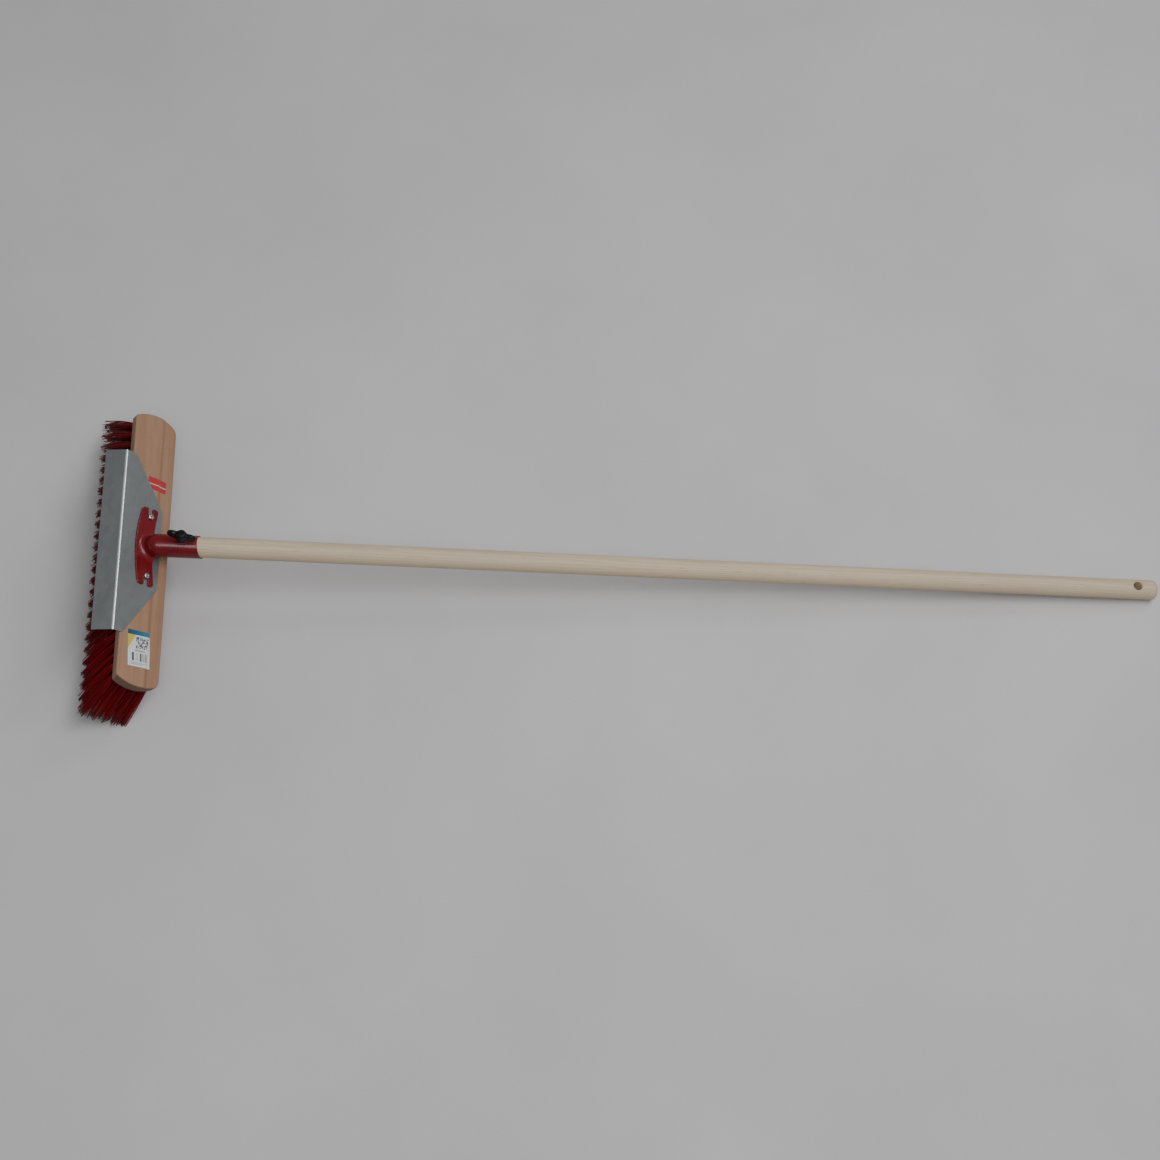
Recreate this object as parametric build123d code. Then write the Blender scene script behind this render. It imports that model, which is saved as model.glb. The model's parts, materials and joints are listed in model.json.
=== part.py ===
from build123d import *
import math
import os

# A push broom lying on the ground: saddle-shaped wooden block, five rows of stiff
# synthetic tufts, a bent sheet scraper, a pressed steel handle holder with a wing
# screw, and a round wooden handle. All sizes are millimetres.
#
# Everything is built in the block's own frame and laid down at the end:
#   +X across the block, from its front edge towards the handle
#   +Y along the block
#   +Z out of the block's flat top face, which is z = 0

# ---- wooden block -----------------------------------------------------------
block_length = 400.0
block_corner_length = 380.0
block_front = -27.0
block_front_bottom = -22.0
block_ridge = 16.5
block_ledge = 20.5
ledge_fall = 1.5
block_back = 42.5
block_thickness = 18.0
back_fall = 4.5
block_edge_round = 1.5
block_front_round = 2.5
block_back_corner = 9.0

# ---- bristle tufts ----------------------------------------------------------
tuft_rows = 5
tuft_middle = 8.25
tufts_per_row = 26
row_pitch = 12.6
tuft_pitch = 14.7
tuft_hole_radius = 3.25
tuft_hole_depth = 11.8
tuft_root_radius = 3.2
tuft_root_depth = 9.6
tuft_tip_radius = 4.6
bristle_length = 72.0
side_fan = 6.0
end_fan = 22.0
anchor_width = 5.6
anchor_thickness = 0.5
anchor_height = 1.8

# ---- scraper plate ----------------------------------------------------------
sheet = 1.0
bend_ahead = 10.6
bend_angle = 45.0
flange_length = 28.5
scraper_length = 263.0
shoulder = -23.0
tongue_end = 25.0
tongue_width = 115.0
tongue_round = 9.0
shoulder_round = 6.0

# ---- handle holder ----------------------------------------------------------
handle_angle = 37.0
axis_foot = -5.5
socket_reach = 79.3
socket_radius = 15.5
socket_wall = 1.2
rim_rake = 17.0
dome_reach = 22.0
foot_sheet = 2.0
foot_length = 113.0
foot_front_end = -7.2
foot_front_middle = -14.5
foot_back_end = 18.1
foot_back_middle = 13.0
fork_slot = 6.2
fork_centre = 5.4
fork_round = 3.5

# ---- fasteners --------------------------------------------------------------
screw_spread = 43.3
screw_head_radius = 4.0
screw_head_height = 2.6
screw_radius = 2.0
screw_length = 16.0
thread_clearance = 0.05
plate_hole_radius = 2.3

# ---- clamp: weld nut, M6 stud and wing head ---------------------------------
clamp_place = 55.0
stud_radius = 3.0
stud_tip_gap = 0.3
stud_hole_radius = 3.4
nut_width = 10.0
nut_top = 20.5
hub_bottom = 22.5
hub_top = 42.0
hub_radius = 6.4
stud_top = 37.0
wing_turn = -13.0
wing_thickness = 6.0
lobe_radius = 7.0
lobe_centre = 12.6
lobe_height = 33.5

# ---- handle -----------------------------------------------------------------
handle_length = 1400.0
handle_radius = 14.0
handle_inset = 31.0
handle_end_round = 9.0
handle_inner_chamfer = 2.5
hang_hole_radius = 6.5
hang_hole_inset = 32.0
hang_hole_chamfer = 1.0

# ---- labels -----------------------------------------------------------------
label_sheet = 0.15
label_width = 34.5
label_length = 50.0
label_middle = (4.75, -147.5)
label_turn = 4.0
sticker_width = 30.0
sticker_length = 18.0
sticker_middle = (14.5, 96.0)
sticker_turn = 0.0

half_length = block_length / 2
block_middle = (block_front + block_back) / 2
foot_top = sheet + foot_sheet
far = 200.0

# The socket's own frame: origin where its axis meets the block's top plane,
# +Z along the handle, +X away from the block.
lean = math.radians(handle_angle)
socket = Plane(
    origin=(axis_foot, 0, 0),
    x_dir=(-math.sin(lean), 0, math.cos(lean)),
    z_dir=(math.cos(lean), 0, math.sin(lean)),
)


def prism(outline, bottom, top):
    """A flat outline in the block's plane, raised from bottom to top."""
    return extrude(Pos(0, 0, bottom) * outline, top - bottom)


def along_axis(radius, start, end):
    """A round bar on the local Z axis between two heights."""
    return Pos(0, 0, (start + end) / 2) * Cylinder(radius, end - start)


def cross_bar(radius, start, end):
    """A round bar on the local X axis between two distances."""
    return Pos((start + end) / 2, 0, 0) * Rot(0, 90, 0) * Cylinder(radius, end - start)


# ---- tuft layout ------------------------------------------------------------
def tuft_plane(row, column):
    """Frame of one tuft: origin at its root on the block's underside, +Z to its tip."""
    across = (row - (tuft_rows - 1) / 2) * row_pitch
    along = (column - (tufts_per_row - 1) / 2) * tuft_pitch
    widest = (tuft_rows - 1) / 2 * row_pitch
    longest = (tufts_per_row - 1) / 2 * tuft_pitch
    spread_x = math.tan(math.radians(side_fan)) * across / widest
    spread_y = math.tan(math.radians(end_fan)) * along / longest
    root = (tuft_middle + across, along, -block_thickness)
    return Plane(origin=root, x_dir=(1, 0, spread_x), z_dir=(spread_x, spread_y, -1))


def tuft_reach(plane):
    """Length of a tuft whose tips are all trimmed to one flat plane."""
    return bristle_length / abs(plane.z_dir.Z)


def row_planes(row):
    return [tuft_plane(row, column) for column in range(tufts_per_row)]


def tuft_row(row):
    tufts = []
    for plane in row_planes(row):
        reach = tuft_reach(plane)
        root = along_axis(tuft_root_radius, -tuft_root_depth, 0)
        flare = Pos(0, 0, reach / 2) * Cone(tuft_root_radius, tuft_tip_radius, reach)
        tufts.append(plane * (root + flare))
    return tufts


def anchor_row(row):
    """The flat wire anchors that hold each folded tuft at the bottom of its hole."""
    depth = tuft_root_depth + 0.1 + anchor_height / 2
    anchor = Pos(0, 0, -depth) * Box(anchor_width, anchor_thickness, anchor_height)
    return [plane * anchor for plane in row_planes(row)]


# ---- block ------------------------------------------------------------------
def block_outline():
    corner = block_corner_length / 2
    upper = ThreePointArc((block_front, corner), (block_middle, half_length), (block_back, corner))
    lower = ThreePointArc((block_front, -corner), (block_middle, -half_length), (block_back, -corner))
    front = Line((block_front, -corner), (block_front, corner))
    back = Line((block_back, -corner), (block_back, corner))
    face = make_face([upper, back, lower, front])
    ends = face.vertices().sort_by(Axis.X)
    face = fillet(ends[-2:], block_back_corner)
    ends = face.vertices().sort_by(Axis.X)
    return fillet(ends[:2], block_front_round)


def block_section():
    """Flat top, a shallow step down at the ridge, a falling flank and a leaning front."""
    points = [
        (block_front_bottom, -block_thickness),
        (block_back, -block_thickness),
        (block_back, -back_fall),
        (block_ledge, -ledge_fall),
        (block_ridge, 0),
        (block_front, 0),
    ]
    section = make_face(Polyline(*points, close=True))
    section = fillet(section.vertices().sort_by_distance((block_front, 0))[0:1], block_front_round)
    section = fillet(section.vertices().sort_by_distance((block_back, -back_fall))[0:1], block_front_round)
    section = fillet(section.vertices().sort_by_distance((block_ridge, 0))[0:1], 4.0)
    return fillet(section.vertices().sort_by_distance((block_ledge, -ledge_fall))[0:1], 4.0)


def screw_places():
    return [Pos(fork_centre, side * screw_spread, 0) for side in (-1, 1)]


def broom_block():
    bar = extrude(Plane.XZ * block_section(), half_length, both=True)
    body = bar & prism(block_outline(), -block_thickness, 1)
    body = fillet(body.edges().group_by(Axis.Z)[0], block_edge_round)
    for row in range(tuft_rows):
        hole = along_axis(tuft_hole_radius, -tuft_hole_depth, 3)
        body -= [plane * hole for plane in row_planes(row)]
    depth = screw_length - foot_top + 0.5
    pilot = along_axis(screw_radius + thread_clearance, -depth, 1)
    body -= [place * pilot for place in screw_places()]
    return body


# ---- scraper ----------------------------------------------------------------
def tongue_outline():
    """Plan of the flat part: full length at the bend, tapering to a tongue."""
    bend = block_front - bend_ahead
    long_half = scraper_length / 2
    short_half = tongue_width / 2
    points = [
        (bend + 3, -long_half),
        (shoulder, -long_half),
        (tongue_end, -short_half),
        (tongue_end, short_half),
        (shoulder, long_half),
        (bend + 3, long_half),
    ]
    face = make_face(Polyline(*points, close=True))
    ends = face.vertices().sort_by(Axis.X)
    face = fillet(ends[-2:], tongue_round)
    shoulders = [v for v in face.vertices() if abs(v.X - shoulder) < 0.01]
    return fillet(shoulders, shoulder_round)


def scraper_plate():
    bend = block_front - bend_ahead
    turn = math.radians(bend_angle)
    slope_x = -math.cos(turn)
    slope_z = -math.sin(turn)
    inner = bend + sheet * math.tan(turn / 2)
    points = [
        (bend + 3.5, 0),
        (inner, 0),
        (inner + flange_length * slope_x, flange_length * slope_z),
        (bend + flange_length * slope_x, sheet + flange_length * slope_z),
        (bend, sheet),
        (bend + 3.5, sheet),
    ]
    section = make_face(Polyline(*points, close=True))
    section = fillet(section.vertices().sort_by_distance((bend, sheet))[0:1], 3.0)
    section = fillet(section.vertices().sort_by_distance((inner, 0))[0:1], 2.0)
    flange = extrude(Plane.XZ * section, scraper_length / 2, both=True)
    plate = flange + prism(tongue_outline(), 0, sheet)
    hole = along_axis(plate_hole_radius, -1, sheet + 1)
    return plate - [place * hole for place in screw_places()]


# ---- holder -----------------------------------------------------------------
def foot_outline():
    half = foot_length / 2
    front = ThreePointArc((foot_front_end, -half), (foot_front_middle, 0), (foot_front_end, half))
    back = ThreePointArc((foot_back_end, -half), (foot_back_middle, 0), (foot_back_end, half))
    lower = Line((foot_front_end, -half), (foot_back_end, -half))
    upper = Line((foot_front_end, half), (foot_back_end, half))
    face = make_face([front, upper, back, lower])
    for side in (-1, 1):
        slot_end = side * (screw_spread - 1)
        length = half + 10 - abs(slot_end)
        middle = side * (abs(slot_end) + length / 2)
        face -= Pos(fork_centre, middle) * Rectangle(fork_slot, length)
        face -= Pos(fork_centre, slot_end) * Circle(fork_slot / 2)
    tips = [v for v in face.vertices() if abs(abs(v.Y) - half) < 0.5]
    return fillet(tips, fork_round)


def domed_bar(radius):
    """A round bar along the socket whose foot end is a half sphere."""
    dome = Pos(0, 0, dome_reach) * Sphere(radius)
    return socket * (along_axis(radius, dome_reach, socket_reach + 20) + dome)


def above_plate():
    return Pos(0, 0, sheet + far / 2) * Box(2 * far, far, far)


def handle_holder():
    body = (domed_bar(socket_radius) & above_plate()) + prism(foot_outline(), sheet, foot_top)
    body -= domed_bar(socket_radius - socket_wall)
    trim = socket * Pos(0, 0, socket_reach) * Rot(0, rim_rake, 0) * along_axis(60, 0, 60)
    body -= trim
    passage = socket * Pos(0, 0, clamp_place) * cross_bar(stud_hole_radius, 5, nut_top)
    return body - passage


def holder_screws():
    screws = []
    for place in screw_places():
        head = along_axis(screw_head_radius, foot_top, foot_top + screw_head_height)
        head = fillet(head.edges().sort_by(Axis.Z)[-1], 1.4)
        shank = along_axis(screw_radius, foot_top - screw_length, foot_top)
        recess_height = foot_top + screw_head_height
        slot = Pos(0, 0, recess_height) * Box(4.4, 0.9, 2.4)
        screw = head + shank - slot - Rot(0, 0, 90) * slot
        screws.append(place * screw)
    return screws


# ---- clamp ------------------------------------------------------------------
clamp = socket * Pos(0, 0, clamp_place)


def clamp_nut():
    """Square nut welded to the top of the socket, hollowed to sit on the tube."""
    bottom = socket_radius - 1.2
    block = Pos((bottom + nut_top) / 2, 0, 0) * Box(nut_top - bottom, nut_width, nut_width)
    block -= along_axis(socket_radius, -far, far)
    block -= cross_bar(stud_radius + thread_clearance, 0, 60)
    return clamp * block


def clamp_stud():
    tip = handle_radius + stud_tip_gap
    rod = cross_bar(stud_radius, tip, stud_top)
    return clamp * chamfer(rod.edges().filter_by(GeomType.CIRCLE), 0.4)


def wing_outline():
    """Side view of the wing head: two round lobes joined to the hub by a waist."""
    lobes = [Pos(lobe_height, side * lobe_centre) * Circle(lobe_radius) for side in (-1, 1)]
    web = Pos(lobe_height - 0.6, 0) * Rectangle(lobe_radius * 1.25, 2 * lobe_centre)
    return lobes[0] + lobes[1] + web


def wing_head():
    hub = cross_bar(hub_radius, hub_bottom, hub_top)
    hub = fillet(hub.edges().sort_by(Axis.X)[-1], 2.5)
    hub = fillet(hub.edges().sort_by(Axis.X)[0], 0.8)
    lobe = extrude(wing_outline(), wing_thickness / 2, both=True)
    lobe = fillet(lobe.edges().filter_by(GeomType.CIRCLE), 1.6)
    head = hub + Rot(90, 0, 0) * lobe
    head = Rot(wing_turn, 0, 0) * head
    head -= cross_bar(stud_radius + thread_clearance, hub_bottom - 1, stud_top + 0.1)
    return clamp * head


# ---- handle -----------------------------------------------------------------
def handle():
    outer_end = handle_inset + handle_length
    bar = along_axis(handle_radius, handle_inset, outer_end)
    rims = bar.edges().filter_by(GeomType.CIRCLE).sort_by(Axis.Z)
    bar = chamfer(rims[0], handle_inner_chamfer)
    bar = fillet(bar.edges().filter_by(GeomType.CIRCLE).sort_by(Axis.Z)[-1], handle_end_round)
    hole = cross_bar(hang_hole_radius, -2 * handle_radius, 2 * handle_radius)
    wide = hang_hole_radius + 2 * hang_hole_chamfer
    sink = Pos(handle_radius, 0, 0) * Rot(0, 90, 0) * Cone(hang_hole_radius, wide, 2 * hang_hole_chamfer)
    hole += sink + Rot(0, 180, 0) * sink
    bar -= Pos(0, 0, outer_end - hang_hole_inset) * hole
    return socket * bar


# ---- labels -----------------------------------------------------------------
def turned_rectangle(middle, width, length, turn):
    return Pos(middle[0], middle[1]) * Rot(0, 0, turn) * Rectangle(width, length)


def wrapped_sheet(outline):
    """Thin paper over the block's top and ridge, cut to an outline."""
    side = Plane.XZ * block_section()
    skin = extrude(Pos(0, 0, label_sheet) * side, half_length, both=True)
    skin -= extrude(side, far, both=True)
    return skin & prism(outline, -10, 10)


def price_label():
    return wrapped_sheet(turned_rectangle(label_middle, label_width, label_length, label_turn))


def red_sticker():
    """A sticker wrapped over the ridge, its front corner tucked under the scraper."""
    outline = turned_rectangle(sticker_middle, sticker_width, sticker_length, sticker_turn)
    return wrapped_sheet(outline) - prism(tongue_outline(), -1, 2)


# ---- lying pose -------------------------------------------------------------
def lying_angle():
    """Turn about +Y that rests the back row's tips and the handle's end on the ground."""
    fan = math.radians(side_fan)
    row_half = (tuft_rows - 1) / 2 * row_pitch
    tip_x = tuft_middle + row_half + bristle_length * math.tan(fan) + tuft_tip_radius * math.cos(fan)
    tip_z = -block_thickness - bristle_length + tuft_tip_radius * math.sin(fan)
    reach = handle_inset + handle_length - handle_end_round
    end_x = axis_foot + reach * math.cos(lean) + handle_radius * math.sin(lean)
    end_z = reach * math.sin(lean) - handle_radius * math.cos(lean)
    return math.degrees(math.atan2(end_z - tip_z, end_x - tip_x))


def all_parts():
    parts = {
        "broom_block": [broom_block()],
        "scraper_plate": [scraper_plate()],
        "handle_holder": [handle_holder()],
        "holder_screws": holder_screws(),
        "clamp_nut": [clamp_nut()],
        "clamp_stud": [clamp_stud()],
        "wing_head": [wing_head()],
        "handle": [handle()],
        "price_label": [price_label()],
        "red_sticker": [red_sticker()],
    }
    for row in range(tuft_rows):
        parts[f"tuft_row_{row + 1}"] = tuft_row(row)
        parts[f"tuft_anchors_{row + 1}"] = anchor_row(row)
    return parts


def laid_down(parts):
    """Turn the broom into its lying pose, origin on the ground under its middle."""
    turn = Rot(0, lying_angle(), 0)
    turned = {name: [turn * piece for piece in pieces] for name, pieces in parts.items()}
    box = Compound([piece for pieces in turned.values() for piece in pieces]).bounding_box()
    shift = Pos(-(box.min.X + box.max.X) / 2, 0, -box.min.Z)
    placed = {name: [shift * piece for piece in pieces] for name, pieces in turned.items()}
    return placed, shift * turn


def main():
    os.makedirs("parts", exist_ok=True)
    placed, ground = laid_down(all_parts())
    for name, pieces in placed.items():
        shape = pieces[0] if len(pieces) == 1 else Compound(children=pieces)
        shape.label = name
        export_step(shape, f"parts/{name}.step")
    outer_end = handle_inset + handle_length
    marks = {
        "socket rim centre": socket * Pos(0, 0, socket_reach),
        "clamp axis": clamp * Pos(hub_bottom, 0, 0),
        "hang hole": socket * Pos(0, 0, outer_end - hang_hole_inset),
    }
    for name, mark in marks.items():
        place = Plane(ground * mark)
        print(name, place.origin, "up", place.x_dir, "handle direction", place.z_dir)


main()
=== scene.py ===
import json
import math
import random

import bmesh
import bpy
import numpy as np
from mathutils import Matrix, Vector


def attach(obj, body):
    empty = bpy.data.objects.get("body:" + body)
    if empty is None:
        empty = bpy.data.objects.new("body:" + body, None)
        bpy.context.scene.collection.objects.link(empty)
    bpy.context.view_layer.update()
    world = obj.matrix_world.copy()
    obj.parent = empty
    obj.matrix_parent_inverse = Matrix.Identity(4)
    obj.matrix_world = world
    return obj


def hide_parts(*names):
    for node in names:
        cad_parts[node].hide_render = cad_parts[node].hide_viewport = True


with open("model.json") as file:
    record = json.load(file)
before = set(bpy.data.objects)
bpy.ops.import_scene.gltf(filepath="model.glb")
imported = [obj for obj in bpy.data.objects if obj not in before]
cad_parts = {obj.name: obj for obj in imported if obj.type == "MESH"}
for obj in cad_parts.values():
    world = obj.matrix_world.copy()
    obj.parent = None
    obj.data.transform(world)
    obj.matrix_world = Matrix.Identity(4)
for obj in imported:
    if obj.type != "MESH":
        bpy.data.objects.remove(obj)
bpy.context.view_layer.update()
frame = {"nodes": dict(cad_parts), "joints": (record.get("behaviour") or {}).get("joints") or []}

# A push broom on a pale floor. The CAD nodes carry the scraper, the fasteners, the tuft
# anchors and the two labels. This script replaces what CAD leaves plain: the planed
# block, the pressed holder, the moulded wing head, the turned handle and the tufts, made
# of loose bristles. It also gives every piece its material.

MM = 0.001
nodes = frame["nodes"]

# ---------------------------------------------------------------------------
# Frames read from the CAD
# ---------------------------------------------------------------------------
joints = {joint["name"]: joint for joint in frame["joints"]}
ALONG = Vector(joints["handle_slide"]["axis"]).normalized()
UP = Vector(joints["wing_turn"]["axis"]).normalized()
SIDE = ALONG.cross(UP)

# In the local frames, lengths are in millimetres. The socket's frame has "up" towards the
# wing head, "side" across and "along" the handle. The head's frame has "w" across the
# block, "y" along it and "n" out of its top face.
HANDLE_ANGLE = math.radians(37.0)
AXIS_FOOT = -5.5
CLAMP_PLACE = 55.0
HUB_BOTTOM = 22.5
HUB_TOP = 42.0

ACROSS = (ALONG * math.cos(HANDLE_ANGLE) - UP * math.sin(HANDLE_ANGLE)).normalized()
OUT = (ALONG * math.sin(HANDLE_ANGLE) + UP * math.cos(HANDLE_ANGLE)).normalized()
LENGTHWISE = OUT.cross(ACROSS)

clamp_point = Vector(joints["wing_turn"]["pos_m"])
SOCKET_FOOT = clamp_point - (ALONG * CLAMP_PLACE + UP * HUB_BOTTOM) * MM


def axes_matrix(x, y, z, origin):
    """Matrix from a local frame in millimetres to the row frame in metres."""
    turn = Matrix((x, y, z)).transposed() * MM
    return Matrix.Translation(origin) @ turn.to_4x4()


HEAD = axes_matrix(ACROSS, LENGTHWISE, OUT, SOCKET_FOOT - ACROSS * AXIS_FOOT * MM)
SOCKET = axes_matrix(UP, SIDE, ALONG, SOCKET_FOOT)
HEAD_TILT = math.atan2(-ACROSS.z, ACROSS.x)
HANDLE_TILT = math.atan2(-ALONG.z, ALONG.x)


# ---------------------------------------------------------------------------
# Mesh helpers
# ---------------------------------------------------------------------------
SKIN_PULLS = 4
LEAST_STEEPNESS = 0.2


def add_mesh(name, points, faces, matrix=None, smooth=True):
    mesh = bpy.data.meshes.new(name)
    mesh.from_pydata([tuple(p) for p in points], [], [tuple(f) for f in faces])
    if matrix is not None:
        mesh.transform(matrix)
    mesh.validate()
    mesh.update()
    if smooth:
        mesh.shade_smooth()
    piece = bpy.data.objects.new(name, mesh)
    bpy.context.scene.collection.objects.link(piece)
    return piece


def smooth_max(a, b, radius):
    blend = np.clip(0.5 + 0.5 * (a - b) / radius, 0, 1)
    return b + (a - b) * blend + radius * blend * (1 - blend)


def smooth_min(a, b, radius):
    return -smooth_max(-a, -b, radius)


def skin(field, low, high, cell):
    """Points and quads of the surface where field is zero, by surface nets on a grid.

    Every point is then pulled onto the true surface, so that fillets come out smooth."""
    counts = [int(math.ceil((b - a) / cell)) + 1 for a, b in zip(low, high)]
    lines = [a + cell * np.arange(n) for a, n in zip(low, counts)]
    grid = np.stack(np.meshgrid(*lines, indexing="ij"), -1)
    value = field(grid.reshape(-1, 3)).reshape(counts)
    inside = value < 0
    cells = [n - 1 for n in counts]
    total = np.zeros((*cells, 3))
    hits = np.zeros(cells)
    quads = []
    number = np.arange(np.prod(cells)).reshape(cells)
    for axis in range(3):
        near = [slice(None)] * 3
        far = [slice(None)] * 3
        near[axis] = slice(0, -1)
        far[axis] = slice(1, None)
        crossing = inside[tuple(near)] != inside[tuple(far)]
        at = np.argwhere(crossing)
        first = value[tuple(near)][crossing]
        second = value[tuple(far)][crossing]
        point = grid[tuple(at.T)].copy()
        point[:, axis] += cell * first / (first - second)
        others = [(axis + 1) % 3, (axis + 2) % 3]
        keep = np.ones(len(at), bool)
        for other in others:
            keep &= (at[:, other] > 0) & (at[:, other] < counts[other] - 1)
        at, point, first = at[keep], point[keep], first[keep]
        ring = []
        for step in ((1, 1), (0, 1), (0, 0), (1, 0)):
            corner = at.copy()
            corner[:, others[0]] -= step[0]
            corner[:, others[1]] -= step[1]
            np.add.at(total, tuple(corner.T), point)
            np.add.at(hits, tuple(corner.T), 1)
            ring.append(number[tuple(corner.T)])
        ring = np.stack(ring, 1)
        ring[first >= 0] = ring[first >= 0][:, ::-1]
        quads.append(ring)
    quads = np.concatenate(quads)
    used, compact = np.unique(quads, return_inverse=True)
    points = total.reshape(-1, 3)[used] / hits.reshape(-1)[used, None]
    for _ in range(SKIN_PULLS):
        points = pull_onto(field, points, cell)
    return points, compact.reshape(quads.shape)


def pull_onto(field, points, cell):
    """One step of every point down the field's slope, by half a cell at the most."""
    reach = 0.02 * cell
    here = field(points)
    slope = np.empty_like(points)
    for axis in range(3):
        step = np.zeros(3)
        step[axis] = reach
        slope[:, axis] = (field(points + step) - field(points - step)) / (2 * reach)
    steepness = np.maximum((slope**2).sum(1), LEAST_STEEPNESS)
    move = -slope * (here / steepness)[:, None]
    length = np.linalg.norm(move, axis=1, keepdims=True)
    return points + move * np.minimum(1, 0.5 * cell / np.maximum(length, 1e-9))


# ---------------------------------------------------------------------------
# Node-tree helpers
# ---------------------------------------------------------------------------
class Paint:
    """A small builder for one procedural material, in a frame of the object's own."""

    def __init__(self, name, roughness=0.5, metallic=0.0, specular=0.5):
        self.material = bpy.data.materials.new(name)
        self.material.use_nodes = True
        self.tree = self.material.node_tree
        self.shader = self.tree.nodes["Principled BSDF"]
        self.shader.inputs["Roughness"].default_value = roughness
        self.shader.inputs["Metallic"].default_value = metallic
        self.shader.inputs["Specular IOR Level"].default_value = specular

    def node(self, kind, **settings):
        made = self.tree.nodes.new(kind)
        for key, value in settings.items():
            setattr(made, key, value)
        return made

    def plug(self, socket, value):
        if isinstance(value, bpy.types.NodeSocket):
            self.tree.links.new(value, socket)
        else:
            socket.default_value = value

    def coords(self, tilt=0.0, origin=(0, 0, 0), scale=(1, 1, 1)):
        """Object coordinates in metres, turned level with a tilted part, then scaled."""
        source = self.node("ShaderNodeTexCoord").outputs["Object"]
        moved = self.node("ShaderNodeVectorMath", operation="SUBTRACT")
        self.plug(moved.inputs[0], source)
        moved.inputs[1].default_value = origin
        level = self.node("ShaderNodeMapping", vector_type="POINT")
        self.plug(level.inputs["Vector"], moved.outputs[0])
        level.inputs["Rotation"].default_value = (0, -tilt, 0)
        grown = self.node("ShaderNodeVectorMath", operation="MULTIPLY")
        self.plug(grown.inputs[0], level.outputs[0])
        grown.inputs[1].default_value = scale
        return grown.outputs[0]

    def noise(self, vector, scale=1.0, detail=3.0, rough=0.5, distortion=0.0):
        made = self.node("ShaderNodeTexNoise")
        self.plug(made.inputs["Vector"], vector)
        made.inputs["Scale"].default_value = scale
        made.inputs["Detail"].default_value = detail
        made.inputs["Roughness"].default_value = rough
        made.inputs["Distortion"].default_value = distortion
        return made.outputs["Fac"]

    def math(self, operation, a, b=0.0, clamp=False):
        made = self.node("ShaderNodeMath", operation=operation, use_clamp=clamp)
        self.plug(made.inputs[0], a)
        self.plug(made.inputs[1], b)
        return made.outputs[0]

    def spread(self, value, low, high, to_low=0.0, to_high=1.0):
        made = self.node("ShaderNodeMapRange")
        self.plug(made.inputs["Value"], value)
        made.inputs["From Min"].default_value = low
        made.inputs["From Max"].default_value = high
        made.inputs["To Min"].default_value = to_low
        made.inputs["To Max"].default_value = to_high
        return made.outputs[0]

    def mix(self, amount, a, b):
        made = self.node("ShaderNodeMix", data_type="RGBA")
        self.plug(made.inputs["Factor"], amount)
        self.plug(made.inputs["A"], a)
        self.plug(made.inputs["B"], b)
        return made.outputs["Result"]

    def colour(self, value):
        self.plug(self.shader.inputs["Base Color"], value)

    def roughness(self, value):
        self.plug(self.shader.inputs["Roughness"], value)

    def bump(self, height, distance, strength=1.0):
        made = self.node("ShaderNodeBump")
        made.inputs["Strength"].default_value = strength
        made.inputs["Distance"].default_value = distance
        self.plug(made.inputs["Height"], height)
        self.plug(self.shader.inputs["Normal"], made.outputs[0])


def rgb(red, green, blue):
    return (red, green, blue, 1.0)


def cover(piece, material):
    piece.data.materials.clear()
    piece.data.materials.append(material)


# ---------------------------------------------------------------------------
# Materials: every scale is in repeats for each metre
# ---------------------------------------------------------------------------
LEDGE_MIDDLE = 0.0188
BEND_LINE = -0.0379


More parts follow.
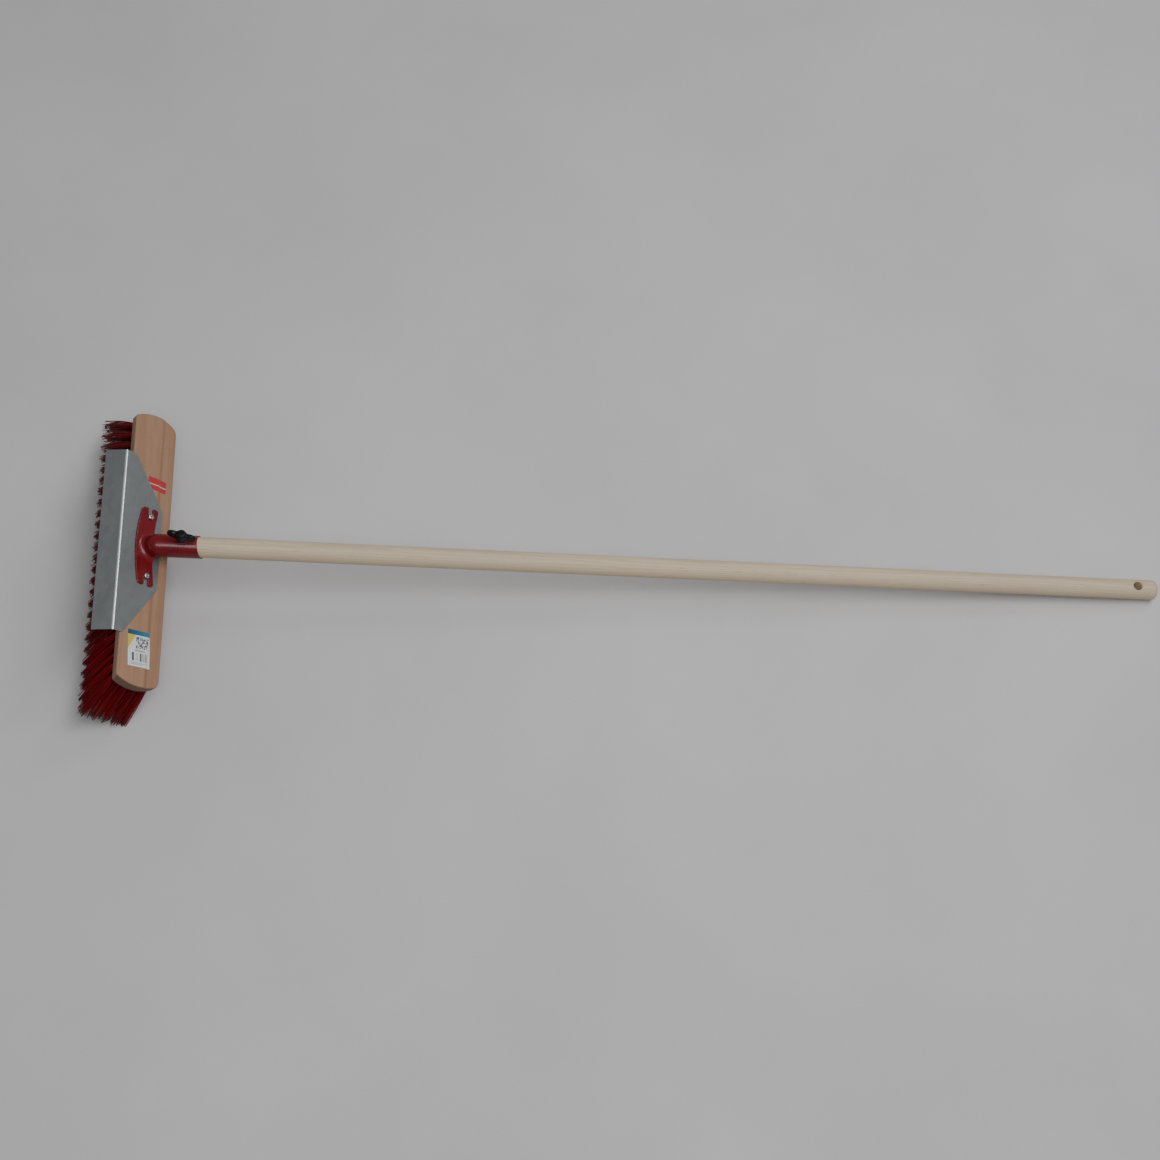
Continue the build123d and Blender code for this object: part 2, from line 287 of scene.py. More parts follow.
def beech(name):
    """Planed beech: straight grain along the block, short dark flecks, a line of painted shade
    along the ledge, and darker end grain, partly the wood's own tone and partly painted shade."""
    paint = Paint(name, specular=0.3)
    origin = tuple(HEAD.translation)
    bands = paint.noise(paint.coords(HEAD_TILT, origin, (90, 5, 60)), 1, 4, 0.55, 0.4)
    fibre = paint.noise(paint.coords(HEAD_TILT, origin, (1500, 40, 1500)), 1, 3, 0.6)
    fleck = paint.noise(paint.coords(HEAD_TILT, origin, (1000, 150, 1000)), 1, 2, 0.5)
    blotch = paint.noise(paint.coords(HEAD_TILT, origin, (22, 9, 22)), 1, 3, 0.5)
    pores = paint.noise(paint.coords(HEAD_TILT, origin, (1900, 1900, 1900)), 1, 2, 0.6)
    tone = paint.mix(paint.spread(bands, 0.35, 0.68), rgb(0.345, 0.205, 0.128), rgb(0.265, 0.148, 0.085))
    tone = paint.mix(paint.spread(blotch, 0.35, 0.7, 0, 0.4), tone, rgb(0.38, 0.215, 0.145))
    tone = paint.mix(paint.spread(fibre, 0.4, 0.75, 0, 0.22), tone, rgb(0.20, 0.105, 0.055))
    tone = paint.mix(paint.spread(fleck, 0.65, 0.71, 0, 0.4), tone, rgb(0.15, 0.072, 0.036))
    # Painted shade: a dark band along the ledge behind the ridge darkens the wood colour there, standing
    # in for the shading on the ledge.
    place = paint.node("ShaderNodeSeparateXYZ")
    paint.plug(place.inputs[0], paint.coords(HEAD_TILT, origin))
    off = paint.math("ABSOLUTE", paint.math("ADD", place.outputs[0], -LEDGE_MIDDLE))
    off = paint.math("ADD", off, paint.math("MULTIPLY", bands, 0.0012))
    ledge = paint.spread(off, 0.0014, 0.0042, 0.42, 0)
    tone = paint.mix(ledge, tone, rgb(0.185, 0.098, 0.05))
    # Faces that look along the block (the ends) get a much darker colour: partly the end grain's own
    # darker tone, partly painted shade for ends that stand in shadow.
    facing = paint.node("ShaderNodeSeparateXYZ")
    paint.plug(facing.inputs[0], paint.node("ShaderNodeTexCoord").outputs["Normal"])
    end = paint.spread(paint.math("ABSOLUTE", facing.outputs[1]), 0.55, 0.85)
    grain = paint.mix(paint.spread(pores, 0.35, 0.65), rgb(0.19, 0.115, 0.07), rgb(0.115, 0.064, 0.037))
    tone = paint.mix(end, tone, grain)
    paint.colour(tone)
    paint.roughness(paint.spread(fibre, 0.3, 0.7, 0.5, 0.66))
    paint.bump(paint.math("ADD", fibre, paint.math("MULTIPLY", fleck, 0.5)), 0.0001, 0.5)
    return paint.material


def pine(name):
    """Turned pale softwood: long growth lines along the handle, fine fibre, sanded matt."""
    paint = Paint(name, specular=0.35)
    origin = tuple(SOCKET.translation)
    warp = paint.noise(paint.coords(HANDLE_TILT, origin, (2.2, 30, 30)), 1, 3, 0.5)
    heart = tuple(SOCKET.translation - Vector((0, 0.035, 0.05)))
    across = paint.coords(HANDLE_TILT, heart, (0.35, 1, 1))
    lift = paint.node("ShaderNodeCombineXYZ")
    paint.plug(lift.inputs["Y"], paint.math("MULTIPLY", warp, 0.012))
    paint.plug(lift.inputs["Z"], paint.math("MULTIPLY", warp, 0.009))
    bent = paint.node("ShaderNodeVectorMath", operation="ADD")
    paint.plug(bent.inputs[0], across)
    paint.plug(bent.inputs[1], lift.outputs[0])
    rings = paint.node("ShaderNodeTexWave", wave_type="RINGS", rings_direction="X", wave_profile="SAW")
    paint.plug(rings.inputs["Vector"], bent.outputs[0])
    rings.inputs["Scale"].default_value = 110
    rings.inputs["Distortion"].default_value = 0.6
    rings.inputs["Detail Scale"].default_value = 40
    fibre = paint.noise(paint.coords(HANDLE_TILT, origin, (22, 1300, 1300)), 1, 3, 0.6)
    dash = paint.noise(paint.coords(HANDLE_TILT, origin, (70, 900, 900)), 1, 2, 0.5)
    blotch = paint.noise(paint.coords(HANDLE_TILT, origin, (7, 40, 40)), 1, 3, 0.5)
    pale = rgb(0.60, 0.49, 0.345)
    ring = rgb(0.43, 0.315, 0.185)
    tone = paint.mix(paint.spread(rings.outputs["Fac"], 0.35, 1.0, 0, 0.55), pale, ring)
    tone = paint.mix(paint.spread(blotch, 0.35, 0.7, 0, 0.5), tone, rgb(0.52, 0.43, 0.32))
    tone = paint.mix(paint.spread(fibre, 0.42, 0.75, 0, 0.3), tone, rgb(0.33, 0.235, 0.135))
    tone = paint.mix(paint.spread(dash, 0.66, 0.72, 0, 0.45), tone, rgb(0.24, 0.15, 0.08))
    paint.colour(tone)
    paint.roughness(paint.spread(fibre, 0.3, 0.7, 0.52, 0.68))
    paint.bump(paint.math("ADD", fibre, paint.math("MULTIPLY", rings.outputs["Fac"], 0.4)), 0.0001, 0.6)
    return paint.material


def galvanised(name):
    """Zinc-coated sheet: faint crystal spangle, rolling marks, scuffs and a smoother bend whose colour
    is raised to near white as a painted highlight.
    """
    paint = Paint(name, metallic=1.0)
    origin = tuple(HEAD.translation)
    crystals = paint.node("ShaderNodeTexVoronoi", feature="F1")
    wobble = paint.noise(paint.coords(HEAD_TILT, origin, (120, 120, 120)), 1, 3, 0.5)
    spot = paint.node("ShaderNodeVectorMath", operation="ADD")
    paint.plug(spot.inputs[0], paint.coords(HEAD_TILT, origin, (150, 110, 150)))
    paint.plug(spot.inputs[1], paint.math("MULTIPLY", wobble, 0.9))
    paint.plug(crystals.inputs["Vector"], spot.outputs[0])
    crystals.inputs["Scale"].default_value = 1.0
    tint = paint.node("ShaderNodeSeparateColor")
    paint.plug(tint.inputs[0], crystals.outputs["Color"])
    grey = paint.mix(tint.outputs[0], rgb(0.268, 0.283, 0.287), rgb(0.285, 0.300, 0.303))
    smear = paint.noise(paint.coords(HEAD_TILT, origin, (18, 6, 18)), 1, 4, 0.6)
    grey = paint.mix(paint.spread(smear, 0.35, 0.72, 0, 0.4), grey, rgb(0.242, 0.254, 0.258))
    roll = paint.noise(paint.coords(HEAD_TILT, origin, (30, 1400, 30)), 1, 2, 0.5)
    scuff = paint.noise(paint.coords(HEAD_TILT, origin, (900, 60, 900)), 1, 2, 0.5)
    grey = paint.mix(paint.spread(scuff, 0.68, 0.73, 0, 0.3), grey, rgb(0.4, 0.41, 0.41))
    # Painted highlight: a thin band along the bend line is given a near-white colour, standing in for
    # the bright reflection on the bend; the band is also made less rough.
    across = paint.node("ShaderNodeSeparateXYZ")
    paint.plug(across.inputs[0], paint.coords(HEAD_TILT, origin))
    away = paint.math("ABSOLUTE", paint.math("ADD", across.outputs[0], -BEND_LINE))
    away = paint.math("ADD", away, paint.math("MULTIPLY", wobble, 0.0004))
    bend = paint.spread(away, 0.0009, 0.0018, 1, 0)
    paint.colour(paint.mix(bend, grey, rgb(0.93, 0.94, 0.94)))
    crystal_gloss = paint.spread(tint.outputs[1], 0, 1, 0.43, 0.47)
    smear_gloss = paint.spread(smear, 0.3, 0.7, -0.03, 0.06)
    gloss = paint.math("ADD", crystal_gloss, smear_gloss)
    paint.roughness(paint.math("SUBTRACT", gloss, paint.math("MULTIPLY", bend, 0.14)))
    paint.bump(paint.math("ADD", paint.math("MULTIPLY", roll, 0.4), wobble), 0.00006, 0.4)
    return paint.material


def red_enamel(name):
    """Dipped red enamel over pressed steel: slight orange peel, dust and rubbed spots."""
    paint = Paint(name, roughness=0.3, specular=0.3)
    origin = tuple(HEAD.translation)
    peel = paint.noise(paint.coords(HEAD_TILT, origin, (420, 420, 420)), 1, 2, 0.5)
    cloud = paint.noise(paint.coords(HEAD_TILT, origin, (45, 45, 45)), 1, 4, 0.6)
    dust = paint.noise(paint.coords(HEAD_TILT, origin, (1500, 1500, 1500)), 1, 2, 0.6)
    tone = paint.mix(paint.spread(cloud, 0.3, 0.7), rgb(0.125, 0.003, 0.007), rgb(0.165, 0.0045, 0.0095))
    tone = paint.mix(paint.spread(dust, 0.67, 0.75, 0, 0.2), tone, rgb(0.25, 0.07, 0.06))
    paint.colour(tone)
    paint.roughness(paint.spread(cloud, 0.3, 0.7, 0.26, 0.38))
    paint.bump(peel, 0.0001, 0.3)
    paint.shader.inputs["Coat Weight"].default_value = 0.25
    paint.shader.inputs["Coat Roughness"].default_value = 0.1
    return paint.material


def zinc(name, low=0.45, high=0.7):
    """Bright zinc plating with a slight passivation haze."""
    paint = Paint(name, metallic=1.0)
    haze = paint.noise(paint.coords(scale=(700, 700, 700)), 1, 3, 0.6)
    paint.colour(paint.mix(haze, rgb(low, low, low * 1.02), rgb(high, high * 0.99, high * 0.94)))
    paint.roughness(paint.spread(haze, 0.3, 0.7, 0.18, 0.34))
    paint.bump(haze, 0.00004, 0.4)
    return paint.material


def moulded_black(name):
    """Glass-filled black plastic with a fine moulded grain."""
    paint = Paint(name, specular=0.24)
    grain = paint.noise(paint.coords(scale=(2600, 2600, 2600)), 1, 2, 0.5)
    cloud = paint.noise(paint.coords(scale=(160, 160, 160)), 1, 3, 0.5)
    paint.colour(paint.mix(cloud, rgb(0.0022, 0.0024, 0.0023), rgb(0.005, 0.0056, 0.0052)))
    paint.roughness(paint.spread(cloud, 0.3, 0.7, 0.34, 0.48))
    paint.bump(grain, 0.00006, 0.5)
    return paint.material


def bristle_plastic(name):
    """Drawn synthetic filament, each strand its own depth of red, with a soft sheen."""
    paint = Paint(name, specular=0.2)
    shade = paint.node("ShaderNodeAttribute", attribute_name="strand")
    mottle = paint.noise(paint.coords(scale=(260, 260, 260)), 1, 2, 0.5)
    tone = paint.mix(shade.outputs["Fac"], rgb(0.085, 0.0003, 0.0022), rgb(0.23, 0.0015, 0.0065))
    tone = paint.mix(paint.spread(mottle, 0.4, 0.75, 0, 0.3), tone, rgb(0.27, 0.004, 0.010))
    paint.colour(tone)
    paint.roughness(paint.spread(mottle, 0.3, 0.7, 0.34, 0.48))
    return paint.material


def floor_grey(name):
    """Plain pale floor, faintly uneven."""
    paint = Paint(name, specular=0.2)
    cloud = paint.noise(paint.coords(scale=(2.4, 2.4, 2.4)), 1, 5, 0.55)
    grit = paint.noise(paint.coords(scale=(420, 420, 420)), 1, 2, 0.5)
    tone = paint.mix(paint.spread(cloud, 0.3, 0.7), rgb(0.50, 0.49, 0.49), rgb(0.56, 0.55, 0.55))
    tone = paint.mix(paint.spread(grit, 0.5, 0.8, 0, 0.25), tone, rgb(0.42, 0.41, 0.41))
    paint.colour(tone)
    paint.roughness(paint.spread(grit, 0.3, 0.7, 0.7, 0.85))
    paint.bump(grit, 0.0002, 0.3)
    return paint.material


# ---------------------------------------------------------------------------
# Printed labels: plain colour blocks and bars, with no lettering
# ---------------------------------------------------------------------------
def printed(name, draw, gloss):
    """Label paper, printed by a function that draws in the sheet's own 0 to 1 coordinates."""
    paint = Paint(name, specular=0.4)
    source = paint.node("ShaderNodeUVMap", uv_map="sheet")
    parts = paint.node("ShaderNodeSeparateXYZ")
    paint.plug(parts.inputs[0], source.outputs[0])
    u, v = parts.outputs[0], parts.outputs[1]
    draw(paint, u, v)
    fibre = paint.noise(paint.coords(scale=(1800, 1800, 1800)), 1, 3, 0.6)
    paint.roughness(paint.spread(fibre, 0.3, 0.7, gloss, gloss + 0.12))
    paint.bump(fibre, 0.00003, 0.5)
    return paint.material


def window(paint, u, v, left, right, low, high):
    """1 inside a rectangle of the sheet, 0 outside."""
    inside = paint.math("GREATER_THAN", u, left)
    inside = paint.math("MULTIPLY", inside, paint.math("LESS_THAN", u, right))
    inside = paint.math("MULTIPLY", inside, paint.math("GREATER_THAN", v, low))
    return paint.math("MULTIPLY", inside, paint.math("LESS_THAN", v, high))


def checks(paint, u, v, columns, rows):
    """A random black and white grid."""
    place = paint.node("ShaderNodeCombineXYZ")
    for axis, value, count in (("X", u, columns), ("Y", v, rows)):
        paint.plug(place.inputs[axis], paint.math("FLOOR", paint.math("MULTIPLY", value, count)))
    made = paint.node("ShaderNodeTexWhiteNoise", noise_dimensions="2D")
    paint.plug(made.inputs["Vector"], place.outputs[0])
    return paint.math("GREATER_THAN", made.outputs["Value"], 0.48)


def draw_price_label(paint, u, v):
    """White paper with a yellow corner, a check block, bars, three rules and a blue header."""
    ink = rgb(0.035, 0.035, 0.045)
    paper = rgb(0.66, 0.67, 0.68)
    slant = paint.math("SUBTRACT", v, paint.math("MULTIPLY", u, 1.15))
    corner = paint.math("GREATER_THAN", slant, 0.46)
    tone = paint.mix(corner, paper, rgb(0.56, 0.43, 0.06))
    block = window(paint, u, v, left=0.35, right=0.94, low=0.50, high=0.83)
    code = paint.math("MULTIPLY", checks(paint, u, v, 22, 36), block)
    tone = paint.mix(paint.math("MULTIPLY", code, 0.88), tone, ink)
    strip = window(paint, u, v, left=0.12, right=0.92, low=0.15, high=0.38)
    bars = paint.math("MULTIPLY", checks(paint, u, 0.0, 58, 1), strip)
    tone = paint.mix(paint.math("MULTIPLY", bars, 0.88), tone, ink)
    gap = window(paint, u, v, left=0.45, right=0.53, low=0.14, high=0.39)
    tone = paint.mix(gap, tone, paper)
    for rule_edges in ((0.12, 0.66, 0.05, 0.07), (0.12, 0.86, 0.09, 0.11), (0.30, 0.78, 0.42, 0.46)):
        rule = window(paint, u, v, *rule_edges)
        tone = paint.mix(paint.math("MULTIPLY", rule, 0.6), tone, ink)
    header = window(paint, u, v, left=-1, right=2, low=0.87, high=2)
    blue = paint.mix(u, rgb(0.01, 0.055, 0.09), rgb(0.025, 0.19, 0.31))
    tone = paint.mix(header, tone, blue)
    paint.colour(tone)


def draw_red_sticker(paint, u, v):
    """Red paper with one pale stripe."""
    stripe = window(paint, u, v, left=-1, right=2, low=0.40, high=0.47)
    stripe = paint.math("MULTIPLY", stripe, 0.8)
    paint.colour(paint.mix(stripe, rgb(0.40, 0.035, 0.035), rgb(0.62, 0.60, 0.58)))


# ---------------------------------------------------------------------------
# Holder: pressed steel foot and socket
# ---------------------------------------------------------------------------
SHEET = 1.0
SOCKET_RADIUS = 15.5
SOCKET_WALL = 1.2
SOCKET_REACH = 79.3
RIM_RAKE = math.radians(17.0)
DOME_REACH = 22.0
FLOOR_THICKNESS = 1.3
FOOT_HALF_LENGTH = 56.5
FOOT_FRONT_MIDDLE = -14.5
FOOT_BACK_MIDDLE = 13.0
FOOT_FRONT_SWEEP = 7.3
FOOT_BACK_SWEEP = 5.1
FOOT_MIDDLE_HEIGHT = 2.0
FOOT_HALF_THICKNESS = 1.0
FORK_CENTRE = 5.4
FORK_RADIUS = 3.1
FORK_END = 42.3
FOOT_BLEND = 11.0
STUD_HOLE_RADIUS = 3.4
HOLDER_CELL = 0.6


def holder_field(points):
    """The bow-shaped foot blended into a round socket that is closed by a half dome."""
    up, side, along = points.T
    w = AXIS_FOOT + along * math.cos(HANDLE_ANGLE) - up * math.sin(HANDLE_ANGLE)
    n = along * math.sin(HANDLE_ANGLE) + up * math.cos(HANDLE_ANGLE)
    y = side
    around = np.hypot(np.hypot(up, y), np.minimum(along - DOME_REACH, 0))
    tube = around - SOCKET_RADIUS
    hollow = smooth_max(tube + SOCKET_WALL, SHEET + FLOOR_THICKNESS - n, 0.8)
    bow = (y / FOOT_HALF_LENGTH) ** 2
    front = (FOOT_FRONT_MIDDLE + FOOT_FRONT_SWEEP * bow) - w
    back = w - (FOOT_BACK_MIDDLE + FOOT_BACK_SWEEP * bow)
    outline = smooth_max(smooth_max(front, back, 1.0), np.abs(y) - FOOT_HALF_LENGTH, 5.0)
    fork = np.hypot(w - FORK_CENTRE, np.maximum(FORK_END - np.abs(y), 0)) - FORK_RADIUS
    outline = smooth_max(outline, -fork, 1.6)
    foot = smooth_max(outline, np.abs(n - FOOT_MIDDLE_HEIGHT) - FOOT_HALF_THICKNESS, 1.1)
    body = smooth_min(foot, tube, FOOT_BLEND)
    body = smooth_max(body, -hollow, 0.6)
    body = smooth_max(body, SHEET - n, 0.3)
    rim = (along - SOCKET_REACH) * math.cos(RIM_RAKE) + up * math.sin(RIM_RAKE)
    body = smooth_max(body, rim, 0.6)
    passage = np.maximum(np.hypot(along - CLAMP_PLACE, y) - STUD_HOLE_RADIUS, 5.0 - up)
    return smooth_max(body, -passage, 0.3)


def make_holder():
    low = (-17.5, -58.5, -9.0)
    high = (17.5, 58.5, 86.5)
    points, quads = skin(holder_field, low, high, HOLDER_CELL)
    piece = add_mesh("pressed_holder", points, quads, SOCKET)
    cover(piece, enamel)
    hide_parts("handle_holder")
    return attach(piece, "head")


# ---------------------------------------------------------------------------
# Wing head: moulded hub with two lobes
# ---------------------------------------------------------------------------
WING_TURN = math.radians(-13.0)
HUB_RADIUS = 6.4
HUB_TAPER = 0.04
LOBE_RADIUS = 7.0
LOBE_REACH = 12.6
LOBE_HEIGHT = 33.5
WAIST_HEIGHT = 32.8
STUD_BORE_RADIUS = 3.05
WING_CELL = 0.42


def wing_field(points):
    """A tapered hub with two round lobes, bored from below for the stud."""
    up, side, along = points.T
    y = side * math.cos(WING_TURN) + along * math.sin(WING_TURN)
    z = -side * math.sin(WING_TURN) + along * math.cos(WING_TURN)
    radius = np.hypot(y, z)
    hub_height = np.abs(up - (HUB_TOP + HUB_BOTTOM) / 2) - (HUB_TOP - HUB_BOTTOM) / 2
    hub = smooth_max(radius - HUB_RADIUS + HUB_TAPER * (up - HUB_BOTTOM), hub_height, 2.4)
    lobe = np.hypot(up - LOBE_HEIGHT, np.abs(z) - LOBE_REACH) - LOBE_RADIUS
    waist = smooth_max(np.abs(up - WAIST_HEIGHT) - 5.6, np.abs(z) - LOBE_REACH, 1.0)
    plan = smooth_min(lobe, waist, 3.0)
    thickness = np.abs(y) - (2.8 + 0.6 * np.cos(np.clip(z / 9.0, -math.pi, math.pi)))
    wings = smooth_max(plan, thickness, 2.4)
    body = smooth_min(hub, wings, 4.0)
    bore = smooth_max(radius - STUD_BORE_RADIUS, np.abs(up - 29.8) - 7.3, 0.2)
    return smooth_max(body, -bore, 0.4)


def make_wing():
    low = (20.5, -13.0, -21.5)
    high = (44.0, 13.0, 21.5)
    points, quads = skin(wing_field, low, high, WING_CELL)
    clamp = SOCKET @ Matrix.Translation((0, 0, CLAMP_PLACE))
    piece = add_mesh("moulded_wing", points, quads, clamp)
    cover(piece, black)
    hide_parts("wing_head")
    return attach(piece, "wing_head")


# ---------------------------------------------------------------------------
# Block: planed bar with eased edges, drilled on its underside
# ---------------------------------------------------------------------------
BLOCK_THICKNESS = 18.0
BLOCK_RIDGE = 16.5
BLOCK_LEDGE = 20.5
LEDGE_FALL = 1.5
LEDGE_SLOPE = 0.375
FLANK_SLOPE = 0.1364
BLOCK_FRONT_BOTTOM = -22.0
FRONT_OVERHANG = 5.0
FRONT_SQUARE = 0.963  # the cosine of the front's lean, which turns its offset along w into a distance
BLOCK_BACK = 42.5
END_MIDDLE = 7.75
END_RADIUS = 65.4
END_CENTRE = 134.6
BACK_CORNER = 8.0
FRONT_CORNER = 3.0
EASED_EDGE = 3.2
SIDE_FAN = math.radians(6.0)
END_FAN = math.radians(22.0)
TUFT_MIDDLE = 8.25
ROW_PITCH = 12.6
OUTER_ROW = 2
TUFT_PITCH = 14.7
OUTER_COLUMN = 12.5
TUFT_HOLE_RADIUS = 3.25
TUFT_HOLE_DEPTH = 11.8
SCREW_SPREAD = 43.3
PILOT_RADIUS = 2.05
PILOT_DEPTH = 13.5
BLOCK_CELL = 0.95


def bar_field(w, y, n):
    """The planed bar: a flat top, a ledge behind the ridge, a falling flank and round ends."""
    step = -(w - BLOCK_RIDGE) * LEDGE_SLOPE
    flank = -LEDGE_FALL - (w - BLOCK_LEDGE) * FLANK_SLOPE
    top = n - smooth_min(smooth_max(step, flank, 0.6), np.zeros_like(w), 0.8)
    overhang = (n + BLOCK_THICKNESS) * FRONT_OVERHANG / BLOCK_THICKNESS
    front = (BLOCK_FRONT_BOTTOM - overhang - w) * FRONT_SQUARE
    ends = np.hypot(w - END_MIDDLE, np.maximum(np.abs(y) - END_CENTRE, 0)) - END_RADIUS
    plan = smooth_max(smooth_max(ends, w - BLOCK_BACK, BACK_CORNER), front, FRONT_CORNER)
    return smooth_max(plan, smooth_max(top, -BLOCK_THICKNESS - n, 1.0), EASED_EDGE)


def tuft_hole_field(w, y, n):
    """The nearest drilled hole, which leans with its tuft."""
    depth = np.minimum(-BLOCK_THICKNESS - n, 0)
    side_lean = math.tan(SIDE_FAN) / (OUTER_ROW * ROW_PITCH)
    end_lean = math.tan(END_FAN) / (OUTER_COLUMN * TUFT_PITCH)
    side_grow = 1 + side_lean * depth
    end_grow = 1 + end_lean * depth
    row = np.clip(np.round((w - TUFT_MIDDLE) / side_grow / ROW_PITCH), -OUTER_ROW, OUTER_ROW)
    column = np.round(y / end_grow / TUFT_PITCH - 0.5) + 0.5
    column = np.clip(column, -OUTER_COLUMN, OUTER_COLUMN)
    off_w = w - TUFT_MIDDLE - row * ROW_PITCH * side_grow
    off_y = (y - column * TUFT_PITCH * end_grow) * np.cos(end_lean * column * TUFT_PITCH)
    bottom = n + BLOCK_THICKNESS - TUFT_HOLE_DEPTH
    return np.maximum(np.hypot(off_w, off_y) - TUFT_HOLE_RADIUS, bottom)


def block_field(points):
    w, y, n = points.T
    pilot = np.hypot(w - FORK_CENTRE, np.abs(y) - SCREW_SPREAD) - PILOT_RADIUS
    pilot = np.maximum(pilot, -PILOT_DEPTH - n)
    holes = np.minimum(tuft_hole_field(w, y, n), pilot)
    return smooth_max(bar_field(w, y, n), -holes, 0.5)


def make_block():
    low = (-29.0, -201.5, -19.5)
    high = (44.0, 201.5, 1.5)
    points, quads = skin(block_field, low, high, BLOCK_CELL)
    piece = add_mesh("planed_block", points, quads, HEAD)
    cover(piece, beech("beech"))
    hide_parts("broom_block")
    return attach(piece, "head")


# ---------------------------------------------------------------------------
# Bristles: every tuft is a bundle of separate filaments, a little bent by use
# ---------------------------------------------------------------------------
STRANDS = 44
STRAND_SIDES = 5
STRAND_RINGS = 6
STRAND_RADIUS = 0.5
ROOT_DEPTH = 2.0
ROOT_SPREAD = 2.75
TIP_SPREAD = 4.3
LAST_TUFT = 184.0
END_SPLAY = 0.45
STRAY = 0.75
BELLY = 0.8
BENT_BACK = (5.5, 5.0, 4.5, 3.5, 2.0)  # from the front row to the back row
BENT_ASIDE = -5.0
FRONT_ROW_WEAR = 0.8
BEND_POWER = 1.6
GOLDEN = math.pi * (3 - math.sqrt(5))


def tuft_ends(node):
    """Mouth and tip centres of every tuft of a CAD row, in the head's frame.

    Vertices are grouped into separate solids, and each solid's long axis is its tuft's."""
    mesh = nodes[node].data
    to_head = HEAD.inverted()
    points = np.array([tuple(to_head @ v.co) for v in mesh.vertices])
    group = list(range(len(points)))

    def leader(i):
        while group[i] != i:
            group[i] = group[group[i]]
            i = group[i]
        return i

    keys = {}
    for i, point in enumerate(np.round(points, 3)):
        group[i] = keys.setdefault(tuple(point), i)
    for edge in mesh.edges:
        first, second = (leader(i) for i in edge.vertices)
        group[first] = second
    members = {}
    for i in range(len(points)):
        members.setdefault(leader(i), []).append(i)
    ends = []
    for member in members.values():
        cone = points[member]
        middle = cone.mean(0)
        line = cone - middle
        axis = np.linalg.eigh(line.T @ line)[1][:, -1]
        axis *= -np.sign(axis[2])
        reach = line @ axis
        tip = cone[reach > reach.max() - 0.3].mean(0)
        mouth = tip - axis * (tip[2] + BLOCK_THICKNESS) / axis[2]
        ends.append((mouth, tip))
    return sorted(ends, key=lambda pair: pair[0][1])


def strand_path(rng, mouth, tip, number, bent):
    """Centre line of one filament from just inside its hole to its cut tip, in the head's
    frame. The filaments of a tuft are spread as a sunflower's seeds, more so at the ends."""
    axis = tip - mouth
    axis = axis / np.linalg.norm(axis)
    side = np.cross(axis, (0, 1, 0))
    side /= np.linalg.norm(side)
    other = np.cross(axis, side)
    share = math.sqrt((number + 0.5) / STRANDS)
    turn = number * GOLDEN + rng.uniform(-0.3, 0.3)
    direction = side * math.cos(turn) + other * math.sin(turn)
    splay = 1 + END_SPLAY * min(1.0, abs(mouth[1]) / LAST_TUFT) ** 4
    spread = rng.uniform(0.9, 1.3) + max(0.0, rng.gauss(0, 0.22))
    root = mouth + direction * ROOT_SPREAD * share - axis * ROOT_DEPTH
    end = tip + direction * TIP_SPREAD * share * spread * splay + axis * rng.uniform(-2.6, 0.6)
    end = end + (side * rng.gauss(0, STRAY) + other * rng.gauss(0, STRAY)) * splay
    belly = (side * rng.gauss(0, BELLY) + other * rng.gauss(0, BELLY)) + direction * 0.5
    t = np.linspace(0, 1, STRAND_RINGS)[:, None]
    return root + (end - root) * t + belly * np.sin(math.pi * t) + np.array(bent) * t**BEND_POWER


def lift_off_floor(path):
    """A filament's path in metres. Where it would pass through the floor it bends along it."""
    world = path @ np.array(HEAD.to_3x3()).T + np.array(HEAD.translation)
    rest = (STRAND_RADIUS + 0.1) * MM
    world[:, 2] = np.where(world[:, 2] < rest, rest + 0.05 * MM, world[:, 2])
    return world


def strand_points(path, radius):
    """Rings of points round a path, in metres."""
    axis = path[-1] - path[0]
    axis /= np.linalg.norm(axis)
    side = np.cross(axis, (0.3, 0.2, 0.93))
    side /= np.linalg.norm(side)
    other = np.cross(axis, side)
    angle = np.arange(STRAND_SIDES) * 2 * math.pi / STRAND_SIDES
    ring = np.outer(np.cos(angle), side) + np.outer(np.sin(angle), other)
    return (path[:, None, :] + ring[None] * radius).reshape(-1, 3)


def strand_faces():
    """Faces of one closed strand, numbered from its first point."""
    faces = []
    for ring in range(STRAND_RINGS - 1):
        for k in range(STRAND_SIDES):
            a = ring * STRAND_SIDES + k
            b = ring * STRAND_SIDES + (k + 1) % STRAND_SIDES
            faces.append((a, b, b + STRAND_SIDES, a + STRAND_SIDES))
    last = (STRAND_RINGS - 1) * STRAND_SIDES
    faces.append(tuple(last + k for k in range(STRAND_SIDES)))
    faces.append(tuple(reversed(range(STRAND_SIDES))))
    return faces


def make_bristles(row):
    node = f"tuft_row_{row}"
    bent = (BENT_BACK[row - 1], BENT_ASIDE, FRONT_ROW_WEAR if row == 1 else 0)
    rng = random.Random(100 + row)
    pattern = strand_faces()
    points = []
    faces = []
    shades = []
    for mouth, tip in tuft_ends(node):
        for number in range(STRANDS):
            path = lift_off_floor(strand_path(rng, mouth, tip, number, bent))
            start = len(points)
            radius = STRAND_RADIUS * MM * rng.uniform(0.88, 1.1)
            points.extend(strand_points(path, radius))
            faces.extend([tuple(start + i for i in face) for face in pattern])
            shades.extend([rng.random()] * (STRAND_RINGS * STRAND_SIDES))
    piece = add_mesh(f"bristles_{row}", points, faces)
    strand = piece.data.attributes.new("strand", "FLOAT", "POINT")
    strand.data.foreach_set("value", shades)
    cover(piece, bristle)
    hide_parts(node)
    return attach(piece, "head")


